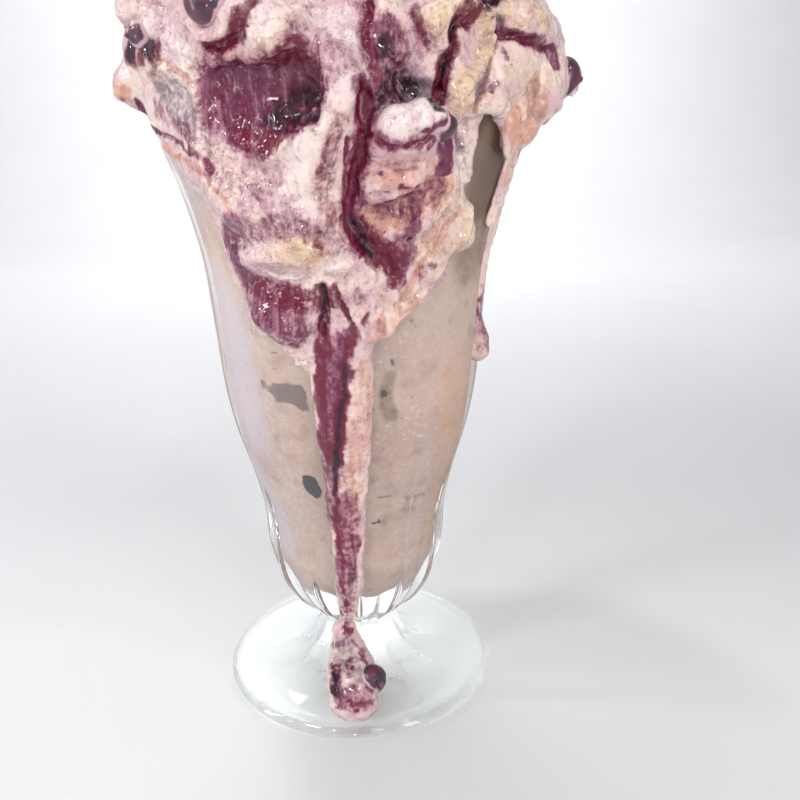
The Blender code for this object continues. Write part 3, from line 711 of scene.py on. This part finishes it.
class Look:
    """A material in the making, around one Principled shader."""

    def __init__(self, name, **constants):
        self.material = bpy.data.materials.new(name)
        self.material.use_nodes = True
        self.tree = self.material.node_tree
        self.shader = self.tree.nodes["Principled BSDF"]
        for key, value in constants.items():
            self.shader.inputs[key.replace("_", " ")].default_value = value

    def node(self, kind, settings=None, inputs=None, out=0):
        """A node of this type, its settings made first, then its sockets' values or links."""
        made = self.tree.nodes.new(kind)
        for key, value in (settings or {}).items():
            setattr(made, key, value)
        for key, value in (inputs or {}).items():
            if isinstance(value, Shade):
                self.tree.links.new(value.socket, made.inputs[key])
            else:
                made.inputs[key].default_value = value
        return Shade(self, made.outputs[out])

    def place(self):
        return self.node("ShaderNodeTexCoord", out="Object")

    def field(self, name):
        """A value painted on the piece's points."""
        return self.node("ShaderNodeAttribute", {"attribute_name": name}, out="Fac")

    def noise(self, size, detail=3.0, rough=0.5, twist=0.0, place=None):
        """Noise with features of about this size in millimetres."""
        inputs = {
            "Vector": place or self.place(),
            "Scale": 1 / (size * MM),
            "Detail": detail,
            "Roughness": rough,
            "Distortion": twist,
        }
        return self.node("ShaderNodeTexNoise", {}, inputs)

    def cells(self, size, feature="F1"):
        """How far a point is from the middle of its Voronoi cell, of about this size in millimetres."""
        inputs = {"Vector": self.place(), "Scale": 1 / (size * MM)}
        return self.node("ShaderNodeTexVoronoi", {"feature": feature}, inputs, "Distance")

    def mix(self, mask, below, above):
        """Colour below where the mask is 0, above where it is 1."""
        settings = {"data_type": "RGBA"}
        return self.node("ShaderNodeMix", settings, {"Factor": mask, 6: below, 7: above}, out=2)

    def bump(self, height, depth, strength=1.0):
        """A bump whose height of 1 is this many millimetres."""
        inputs = {"Height": height, "Distance": depth * MM, "Strength": strength}
        return self.node("ShaderNodeBump", {}, inputs)

    def let_lamps_through(self, tint):
        """Lamplight goes through as through a thin pane, so that nothing under the glass is black."""
        is_shadow = self.node("ShaderNodeLightPath", out="Is Shadow Ray")
        pane = self.node("ShaderNodeBsdfTransparent", {}, {"Color": tint})
        body = Shade(self, self.shader.outputs[0])
        mixed = self.node("ShaderNodeMixShader", {}, {0: is_shadow, 1: body, 2: pane})
        self.tree.links.new(mixed.socket, self.tree.nodes["Material Output"].inputs["Surface"])

    def finish(self, **links):
        for key, value in links.items():
            self.tree.links.new(value.socket, self.shader.inputs[key.replace("_", " ")])
        return self.material


def rgb(red, green, blue):
    """A linear colour from the usual 0 to 255 values."""
    parts = [c / 255 for c in (red, green, blue)]
    return (*[(c / 12.92) if c < 0.0404 else ((c + 0.055) / 1.055) ** 2.4 for c in parts], 1)


def glass_look():
    look = Look("pressed_glass", Transmission_Weight=1.0, IOR=1.5, Roughness=0.0)
    look.shader.inputs["Base Color"].default_value = (0.985, 0.995, 0.992, 1)
    waves = look.noise(14, detail=1.0)
    height = look.node("ShaderNodeSeparateXYZ", {}, {"Vector": look.place()}, out="Z")
    underside = 1 - height.edge(0.3 * MM, 0.9 * MM)
    material = look.finish(Roughness=underside * 0.5, Normal=look.bump(waves, 0.25, 0.35))
    look.let_lamps_through(rgb(222, 225, 224))
    return material


def cream_look():
    look = Look("berry_cream", Subsurface_Weight=0.2, Subsurface_Scale=0.001)
    look.shader.inputs["Subsurface Radius"].default_value = (1.0, 0.6, 0.55)
    look.shader.inputs["Coat Roughness"].default_value = 0.04
    look.shader.inputs["Specular IOR Level"].default_value = 0.2
    broad = look.noise(15, detail=4, twist=0.8)
    medium = look.noise(4.2, detail=5, rough=0.6, twist=0.7)
    fine = look.noise(1.2, detail=4, rough=0.6)
    grain = look.noise(0.42, detail=2)
    downwards = look.node("ShaderNodeMapping", {}, {"Vector": look.place(), "Scale": (1.0, 1.0, 0.2)})
    streaks = look.noise(1.8, detail=3, twist=0.4, place=downwards)
    ragged = (medium - 0.5) * 0.9 + (fine - 0.5) * 1.1 + (streaks - 0.5) * 1.4
    fields = {name: look.field(name) for name in CREAM_FIELDS}

    def mask(name, strength, full=1.05):
        here = fields[name]
        return (here + ragged * here.edge(0.0, 0.4)).edge(0.05, full) * strength

    frothy = 1 - fields["satin"] * 0.7
    colour = look.mix(broad.edge(0.38, 0.62), rgb(224, 201, 192), rgb(207, 174, 177))
    # Pale milky cream, with painted highlights along some folds' lips and edges.
    colour = look.mix(mask("milk_and_painted_light", 0.7), colour, rgb(240, 226, 221))
    colour = look.mix(mask("custard", 0.8), colour, rgb(222, 195, 146))
    # Warm peach tint, partly the cream's own, partly painted warm bounce light under the overhangs and
    # painted shadow along edges.
    colour = look.mix(mask("peach_bounce_and_shade", 0.75), colour, rgb(198, 138, 104))
    colour = look.mix(medium.edge(0.47, 0.68) * 0.55 * frothy, colour, rgb(170, 118, 138))
    colour = look.mix(fine.edge(0.5, 0.7) * 0.5 * frothy, colour, rgb(134, 78, 100))
    blush = (fields["juice"] + fields["crimson"] * 0.6 + ragged * 0.4 - 0.1).edge(0.0, 0.8)
    colour = look.mix(blush * 0.6, colour, rgb(170, 84, 126))
    # Grey smears, with painted shade along the lobe's edge and in the overhang's hollow.
    colour = look.mix(mask("ash_and_shade", 0.8), colour, rgb(104, 96, 108))
    veils = look.noise(5.5, detail=5, rough=0.68, twist=1.4, place=downwards).edge(0.5, 0.66)
    juice = mask("juice", 0.95, 1.0) * (1 - veils * 0.6)
    crimson = mask("crimson", 0.97, 0.92) * (1 - veils * 0.25)
    colour = look.mix(juice, colour, rgb(92, 12, 56))
    colour = look.mix(crimson, colour, rgb(100, 2, 42))
    # Dark juice, with painted shade in the big hollow, the pit over the lump and the crotch low in the
    # middle.
    colour = look.mix(mask("dark", 0.95, 0.9), colour, rgb(34, 0, 24))
    specks = (1 - look.cells(1.9).edge(0.05, 0.14)) * medium.edge(0.35, 0.6)
    colour = look.mix(specks * 0.8, colour, rgb(60, 10, 34))
    beads = look.cells(1.3, feature="SMOOTH_F1")
    # Painted glints: tiny white specks in the bubbly places, where wet bubbles would catch the light, fewer
    # over juice and crimson.
    painted_glints = (1 - look.cells(0.9).edge(0.05, 0.36)) * medium.edge(0.5, 0.66)
    painted_glints = painted_glints * (0.25 + fields["bubbly"] * 0.5) * frothy
    colour = look.mix(painted_glints * (1 - juice * 0.65) * (1 - crimson * 0.8), colour, rgb(255, 244, 244))
    height = (medium * 0.9 + fine * 0.9 + grain * 0.4 + (1 - beads) * (0.35 + fields["bubbly"])) * frothy
    return look.finish(
        Base_Color=colour,
        Roughness=0.14 + fine * 0.2,
        Coat_Weight=0.5 + juice * 0.1,
        Normal=look.bump(height, 0.5, 1.0),
    )


def shake_look():
    look = Look("shake_in_the_glass", Roughness=0.5, Subsurface_Weight=0.2, Subsurface_Scale=0.002)
    broad = look.noise(26, detail=3, twist=0.5)
    medium = look.noise(5, detail=4)
    fine = look.noise(1.2, detail=3)
    ragged = (medium - 0.5) * 0.5 + (fine - 0.5) * 0.6
    colour = look.mix(broad.edge(0.35, 0.65), rgb(200, 178, 167), rgb(184, 159, 149))
    colour = look.mix(medium.edge(0.5, 0.75) * 0.55, colour, rgb(158, 124, 122))
    colour = look.mix(fine.edge(0.5, 0.72) * (1 - medium.edge(0.4, 0.6)) * 0.6, colour, rgb(216, 203, 202))
    # Painted light and shade among the stains: a paler left side where the light falls, warm bounce light on
    # the right, and shade under the arch.
    layers = [
        ("milk_and_painted_light", 0.8, 0.0, 1.0, rgb(196, 188, 197)),
        ("peach_bounce_and_shade", 0.6, 0.0, 1.0, rgb(212, 168, 134)),
        ("shade", 0.9, 0.0, 1.0, rgb(112, 84, 66)),
        ("ash_and_shade", 0.85, 0.3, 0.7, rgb(104, 92, 92)),
        ("juice", 0.8, 0.2, 0.9, rgb(110, 50, 72)),
        ("bits", 0.95, 0.35, 0.65, rgb(60, 62, 68)),
    ]
    for name, strength, low, high, tint in layers:
        here = look.field(name)
        mask = (here + ragged * here.edge(0.0, 0.5)).edge(low, high) * strength
        colour = look.mix(mask, colour, tint)
    specks = 1 - look.cells(3.0).edge(0.05, 0.11)
    colour = look.mix(specks * 0.6, colour, rgb(96, 66, 74))
    return look.finish(Base_Color=colour)


def berry_look():
    look = Look("berry_skin", Coat_Weight=0.5, Coat_Roughness=0.06)
    broad = look.noise(4, detail=3)
    fine = look.noise(0.8, detail=3)
    colour = look.mix(broad.edge(0.35, 0.7), rgb(34, 20, 40), rgb(92, 24, 56))
    smear = (look.field("smear") + (broad - 0.5) * 0.7 + (fine - 0.5) * 0.4).edge(0.35, 0.75)
    colour = look.mix(smear, colour, rgb(196, 160, 172))
    return look.finish(
        Base_Color=colour,
        Roughness=0.3 + fine * 0.25,
        Normal=look.bump(broad * 0.5 + fine * 0.3, 0.4, 0.6),
    )


def floor_look():
    look = Look("pale_floor", Roughness=0.7)
    cloudy = look.noise(90, detail=2)
    return look.finish(Base_Color=look.mix(cloudy, rgb(206, 206, 208), rgb(212, 212, 214)))


# ------------------------------------------------------------------ the glass and the shake in it


def glass():
    """The pressed glass, with round ribs, flat flutes that end in arches under the rim, and a rolled foot."""
    inside = np.column_stack((INNER_CURVE, 0 * INNER_CURVE[:, 0]))
    whole = np.vstack(([(0.0, 0.0, 0.0)], OUTER_CURVE, inside))
    mesh = to_mesh(turned(whole[:, :2], GLASS_COLUMNS), "glass")
    angle, radius, height = polar(points_of(mesh))
    places = whole[:, :2]
    nearest = [np.argmin(((places - place) ** 2).sum(axis=1)) for place in zip(radius, height)]
    share = whole[nearest, 2]
    radius = radius - share * flute(angle, height) * radius / FLUTED_RADIUS
    move_points(mesh, from_polar(angle, radius, height))
    return piece("glass_body", mesh, glass_look(), "glass")


def shake():
    """The shake that fills the glass, pressed a little into the wall, with berry bits against it and painted
    light and shade on its sides.
    """
    inside = along(INNER_WALL, SHAKE_STEPS)
    below = inside[inside[:, 1] < SHAKE_TOP]
    side = [(r + SHAKE_INTO_WALL, h) for r, h in below if r > 0]
    floor = INNER_WALL[-1][1] - SHAKE_INTO_WALL
    curve = [(0, SHAKE_TOP), (side[0][0] - SHAKE_EDGE, SHAKE_TOP), *side, (0, floor)]
    mesh = to_mesh(turned(curve, SHAKE_COLUMNS), "shake")
    painted(mesh, wandering(points_of(mesh), *FILL_WANDER), surface_of(mesh), FILL_FIELDS, FILL_STAINS)
    return piece("shake_fill", mesh, shake_look(), "shake")


# ------------------------------------------------------------------ the overflow


def rooted(points):
    """The overflow's inner face pushed into the glass, so that no gap shows at its edges."""
    angle, radius, height = polar(points)
    outer = wall(angle, height)
    on_wall = (height > OUTER_WALL[WAIST_ROW][1]) & (height < INNER_WALL[0][1] - 1)
    on_wall &= (radius < outer + CAD_GAP) & (radius > bore(height) - 1)
    radius = np.where(on_wall, radius - ROOT_DEPTH, radius)
    top = np.interp(radius, FOOT_TOP[:, 0], FOOT_TOP[:, 1])
    on_foot = (height < OUTER_WALL[WAIST_ROW][1]) & (height < top + CAD_GAP)
    height = np.where(on_foot, np.maximum(height - ROOT_DEPTH, 0.8), height)
    return from_polar(angle, radius, height)


def least_cover(points):
    """How far each point stays out from the glass: a little where cream covers it, just under elsewhere."""
    angle, radius, height = polar(points)
    return np.where(radius > wall(angle, height) + LEAST_COVER, LEAST_COVER, -SUNK_INTO_GLASS)


def trimmed(points, cover):
    """Points inside the glass's wall come out to its surface, and cream that covers the wall still does."""
    angle, radius, height = polar(points)
    outer = wall(angle, height) + cover
    in_wall = (height > OUTER_WALL[WAIST_ROW][1]) & (height < INNER_WALL[0][1] - 0.5)
    in_wall &= (radius < outer) & (radius > bore(height) + 0.5)
    radius = np.where(in_wall, outer, radius)
    top = np.interp(radius, FOOT_TOP[:, 0], FOOT_TOP[:, 1]) - SUNK_INTO_GLASS
    in_foot = (height < OUTER_WALL[WAIST_ROW][1]) & (height < top)
    height = np.where(in_foot, top, height)
    return from_polar(angle, radius, height)


def seen(tree, across, down):
    """The place on a surface that the camera sees there in its picture, or the nearest, in millimetres."""
    eye = Vector(CAMERA_PLACE) * MM
    line = camera_turn() @ Vector((across - PICTURE / 2, PICTURE / 2 - down, -FOCAL)).normalized()
    hit = tree.ray_cast(eye, line)[0]
    if hit is None:
        flat = Vector((line.x, line.y))
        hit = tree.find_nearest(eye - line * (eye.xy.dot(flat) / flat.length_squared))[0]
    return np.array(hit) / MM


def distance(points, tree, path, half_width):
    """How far points are from a path over the surface, in half widths, and 9 past the reach of a stroke."""
    length = sum(math.dist(a, b) for a, b in zip(path, path[1:]))
    steps = max(1, math.ceil(length / half_width / 2))
    spots = [between(path, (len(path) - 1) * i / steps) for i in range(steps + 1)] if length else path
    places = np.array([seen(tree, *spot) for spot in spots])
    share = np.full(len(points), 9.0)
    reach = STROKE_REACH * half_width
    near = np.all((points > places.min(axis=0) - reach) & (points < places.max(axis=0) + reach), axis=1)
    gap = np.full(near.sum(), np.inf)
    for place in places:
        gap = np.minimum(gap, ((points[near] - place) ** 2).sum(axis=1))
    share[near] = np.sqrt(gap) / half_width
    return share


def dome(share):
    """1 in the middle of a stroke and smoothly 0 at its half width."""
    return soft_step(1 - share)


def stain(share):
    """1 over the inner half of a stroke and smoothly 0 at the end of its reach."""
    return soft_step((STROKE_REACH - share) / 0.8)


def painted(mesh, points, tree, names, stains, spots=(), start=None):
    """Stains, and painted light and shade, written on a mesh's points as one field for each name, some of
    which have a start.
    """
    fields = {name: np.zeros(len(points)) for name in names} | (start or {})
    for name, strength, half_width, path in stains:
        share = distance(points, tree, path, half_width)
        fields[name] = np.maximum(fields[name], strength * stain(share))
    for name, half_width, places in spots:
        for place in places:
            share = distance(points, tree, [place], half_width)
            fields[name] = np.maximum(fields[name], stain(share))
    for name, values in fields.items():
        mesh.attributes.new(name, "FLOAT", "POINT").data.foreach_set("value", values.astype(np.float32))
    return fields


def wandering(points, size, reach):
    """The points moved about by smooth noise of this size, so that what is drawn has uneven edges."""
    moves = [noise.noise_vector(Vector(p) / size) for p in points]
    return points + np.array(moves) * reach


def lumps(points, height, size, octaves):
    """Uneven heights, about as high and as large as asked."""
    return height * np.array([noise.fractal(Vector(p) / size, 1.0, 2.0, octaves) for p in points])


def juice_all_round(points):
    """Juice at the sides, back and top, where nothing is drawn: how much of it in patches and in creases."""
    angle, _, height = polar(points)
    free = np.maximum(soft_step((np.abs(angle) - 58) / 22), soft_step((height - 204) / 8))
    spread = free * soft_step((lumps(points * [1, 1, 0.6], 1.0, 14.0, 2) - 0.02) / 0.4)
    crease = soft_step(1 - np.abs(lumps(points * [1, 1, 0.45] + 40, 1.0, 22.0, 2)) / 0.05)
    return spread, crease * soft_step(spread * 5)


def drawn_to_berries(points):
    """The overflow drawn onto each berry, so that the cream meets its skin."""
    for angle, height, radius, size, _, _ in BERRIES:
        middle = np.array(around(angle, radius, height)) / MM
        away = points - middle
        gap = np.linalg.norm(away, axis=1)
        pull = BERRY_PULL * (1 - soft_step((gap - size - 0.7) / 1.6)) * (gap > size * 0.5)
        points = points - away / np.maximum(gap, 1e-6)[:, None] * pull[:, None]
    return points


def flattened(points):
    """The drip down the right side, pressed flatter on the glass."""
    angle, radius, height = polar(points)
    out = np.maximum(radius - wall(angle, height), 0)
    share = soft_step((angle - 40) / 15) * soft_step((120 - angle) / 10)
    share = share * soft_step((172 - height) / 8) * soft_step((height - 108) / 8)
    return from_polar(angle, radius - out * share * (1 - SIDE_DRIP_KEPT), height)


def bubbles(points, amount):
    """Small round bumps, as high as the amount at each point."""
    rise = np.zeros(len(points))
    for i in np.flatnonzero(amount > 0.05):
        gap = noise.voronoi(Vector(points[i]) / BUBBLE)[0][0]
        rise[i] = amount[i] * (1 - min(1.0, (gap * 1.7) ** 2))
    return rise


def core_of_overflow(carriers):
    """The frame's overflow with its doubles merged, rooted in the glass, and the extra cream laid on."""
    bm = bmesh.new()
    bm.from_mesh(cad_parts["overflow"].data)
    bmesh.ops.remove_doubles(bm, verts=bm.verts, dist=0.001 * MM)
    core = bpy.data.meshes.new("core")
    bm.to_mesh(core)
    move_points(core, rooted(points_of(core)))
    bm.clear()
    for mesh in (*carriers, core):
        bm.from_mesh(mesh)
    tree = BVHTree.FromBMesh(bm)
    bm.clear()
    bm.from_mesh(core)
    for half_width, half_depth, lift, path in STRANDS:
        strand(bm, tree, half_width, half_depth, lift, path)
    bm.to_mesh(core)
    bm.free()
    return core


def overflow(carriers):
    """The mound and its drips, finer than the frame's solid, with folds, pits, stains of berry juice, and
    painted light and shade.
    """
    voxel = OVERFLOW_VOXEL
    melt = ("REMESH", {"mode": "VOXEL", "voxel_size": voxel * MM})
    mesh = with_modifiers(core_of_overflow(carriers), melt, ("SMOOTH", {"iterations": 3, "factor": 0.5}))
    move_points(mesh, flattened(points_of(mesh)))
    points, normals = points_of(mesh), normals_of(mesh)
    tree = surface_of(mesh)
    guide = wandering(points, *STROKE_WANDER)
    patches, creases = juice_all_round(guide)
    start = {"juice": 0.8 * patches, "crimson": 0.9 * creases}
    fields = painted(mesh, guide, tree, CREAM_FIELDS, STAINS, SPOTS, start)
    rise = lumps(points, *BROAD_LUMPS) + lumps(points, *SMALL_LUMPS) * (1 - 0.7 * fields["satin"])
    rise += BUBBLE_HEIGHT * bubbles(points, (0.3 + 0.7 * fields["bubbly"]) * (1 - 0.8 * fields["satin"]))
    rise -= CREASE_DEPTH * creases
    for height, half_width, path in RELIEF:
        rise += height * dome(distance(guide, tree, path, half_width))
    for height, half_width, places in KNOBS:
        for place in places:
            rise += height * dome(distance(points, tree, [place], half_width))
    cover = least_cover(points)
    points = points + normals * rise[:, None]
    points = trimmed(drawn_to_berries(points), cover)
    move_points(mesh, points)
    return piece("overflow_cream", mesh, cream_look(), "overflow")


# ------------------------------------------------------------------ the berries


def berry_mesh(size, seed):
    """A blueberry with its crown: a dented ring with five uneven points."""
    bm = bmesh.new()
    bmesh.ops.create_uvsphere(bm, u_segments=40, v_segments=28, radius=1)
    mesh = to_mesh(bm, "berry")
    points = points_of(mesh) * MM
    flat = np.arctan2(points[:, 1], points[:, 0])
    down = np.arccos(np.clip(points[:, 2], -1, 1))
    ring = 0.42 + 0.05 * np.cos(5 * flat + seed)
    lip = np.exp(-(((down - ring) / 0.09) ** 2)) * (0.09 + 0.05 * np.cos(5 * flat + seed))
    dent = 0.26 * soft_step((ring - down) / 0.2)
    wrinkles = 0.025 * np.array([noise.noise(Vector(p) * 2.3 + Vector((seed, 0, 0))) for p in points])
    grown = 1 + lip - dent + wrinkles
    points = points * grown[:, None] * [1, 1, 0.88]
    move_points(mesh, points * size)
    return mesh


def berry_meshes():
    """The berries in their places."""
    meshes = []
    for n, (angle, height, radius, size, turn, lift) in enumerate(BERRIES, 1):
        mesh = berry_mesh(size, n * 1.7)
        facing = Matrix.Rotation(math.radians(angle + turn), 4, "Z")
        upright = Matrix.Rotation(math.radians(90 - lift), 4, "X")
        mesh.transform(Matrix.Translation(around(angle, radius, height)) @ facing @ upright)
        meshes.append(mesh)
    return meshes


def berries(meshes, cream):
    """The berries as pieces, smeared with cream where it touches them."""
    look = berry_look()
    tree = surface_of(cream.data)
    for n, mesh in enumerate(meshes, 1):
        smear = [1 - soft_step(tree.find_nearest(v.co)[3] / MM / 1.6) for v in mesh.vertices]
        mesh.attributes.new("smear", "FLOAT", "POINT").data.foreach_set("value", smear)
        piece(f"berry_{n:02d}_skin", mesh, look, f"berry_{n:02d}")


# ------------------------------------------------------------------ floor, light and camera


LAMP_AIM = (0, 0, 130)
BACKDROP_AIM = (0, 1400, 500)
# The floor's level, a hair under the glass, its edges, and the curve that it rises in at the back.
FLOOR = -0.1
FLOOR_SIDE = 2000
FLOOR_FRONT = -1600
FLOOR_BACK = 900
SWEEP = 500
SWEEP_STEPS = 12
BACKDROP_TOP = 1400
WHITE = (1.0, 1.0, 1.0)
# Lamps: place, width, height, watts and colour.
LAMPS = {
    "window": ((-400, -380, 580), 110, 110, 1.1, WHITE),
    "front": ((160, -620, 480), 70, 70, 0.25, (1.0, 0.99, 0.97)),
    "strip": ((330, -420, 180), 110, 420, 1.1, (1.0, 0.98, 0.96)),
    "left_strip": ((-520, -120, 180), 90, 460, 0.85, WHITE),
    "back": ((-80, 380, 640), 240, 240, 1.0, WHITE),
    "spark": ((-160, 120, 720), 50, 50, 0.8, WHITE),
    "backdrop": ((0, 560, 900), 900, 300, 16.0, WHITE),
}
# Small lamps, each of which puts a fine glint on the wet cream.
SPARKLE_SIZE = 32
SPARKLE_WATTS = 0.38
SPARKLES = [
    (-260, -560, 420),
    (60, -420, 640),
    (320, -300, 560),
    (-420, -60, 420),
    (120, -660, 260),
    (-60, -640, 60),
    (-560, -320, 300),
]


def studio():
    """A pale floor that sweeps up behind, and the lights."""
    outline = [(FLOOR_FRONT, FLOOR), (FLOOR_BACK, FLOOR)]
    for i in range(1, SWEEP_STEPS + 1):
        turn = math.pi / 2 * i / SWEEP_STEPS
        outline.append((FLOOR_BACK + SWEEP * math.sin(turn), SWEEP * (1 - math.cos(turn))))
    outline.append((FLOOR_BACK + SWEEP, BACKDROP_TOP))
    bm = bmesh.new()
    verts = [bm.verts.new(Vector((-FLOOR_SIDE, *place)) * MM) for place in outline]
    edges = [bm.edges.new(pair) for pair in zip(verts, verts[1:])]
    extruded = bmesh.ops.extrude_edge_only(bm, edges=edges)["geom"]
    moved = [v for v in extruded if isinstance(v, bmesh.types.BMVert)]
    bmesh.ops.translate(bm, verts=moved, vec=(2 * FLOOR_SIDE * MM, 0, 0))
    floor_mesh = to_mesh(bm, "floor")
    floor_mesh.materials.append(floor_look())
    floor_mesh.shade_smooth()
    floor = bpy.data.objects.new("floor", floor_mesh)
    bpy.context.scene.collection.objects.link(floor)
    sparkles = {
        f"sparkle_{i}": (place, SPARKLE_SIZE, SPARKLE_SIZE, SPARKLE_WATTS, WHITE)
        for i, place in enumerate(SPARKLES, 1)
    }
    for name, (place, wide, tall, power, colour) in (LAMPS | sparkles).items():
        data = bpy.data.lights.new(name, "AREA")
        data.shape = "RECTANGLE"
        data.size, data.size_y = wide * MM, tall * MM
        data.energy = power
        data.color = colour
        lamp = bpy.data.objects.new(name, data)
        lamp.location = Vector(place) * MM
        aim = Vector(BACKDROP_AIM if name == "backdrop" else LAMP_AIM) * MM - lamp.location
        lamp.rotation_euler = aim.to_track_quat("-Z", "Y").to_euler()
        bpy.context.scene.collection.objects.link(lamp)


def sky():
    """Even white light, brighter from behind than from the camera's side, which gives the glass its lines."""
    world = bpy.data.worlds.new("sky")
    world.use_nodes = True
    nodes, links = world.node_tree.nodes, world.node_tree.links
    axes = nodes.new("ShaderNodeSeparateXYZ")
    links.new(nodes.new("ShaderNodeTexCoord").outputs["Generated"], axes.inputs[0])
    fade = nodes.new("ShaderNodeMapRange")
    fade.interpolation_type = "SMOOTHSTEP"
    for socket, value in (("From Min", -0.1), ("From Max", 0.8), ("To Min", 0.3), ("To Max", 0.75)):
        fade.inputs[socket].default_value = value
    links.new(axes.outputs["Y"], fade.inputs["Value"])
    links.new(fade.outputs["Result"], nodes["Background"].inputs["Strength"])
    nodes["Background"].inputs["Color"].default_value = (0.94, 0.97, 1.0, 1)
    bpy.context.scene.world = world


def camera():
    data = bpy.data.cameras.new("camera")
    data.lens = FOCAL / PICTURE * SENSOR
    data.clip_start = 10 * MM
    made = bpy.data.objects.new("camera", data)
    made.matrix_world = Matrix.Translation(Vector(CAMERA_PLACE) * MM) @ camera_turn()
    bpy.context.scene.collection.objects.link(made)
    bpy.context.scene.camera = made


camera()
sky()
studio()
glass_body = glass()
shake()
fruit = berry_meshes()
berries(fruit, overflow([glass_body.data, *fruit]))
bpy.context.scene.view_settings.view_transform = "Standard"
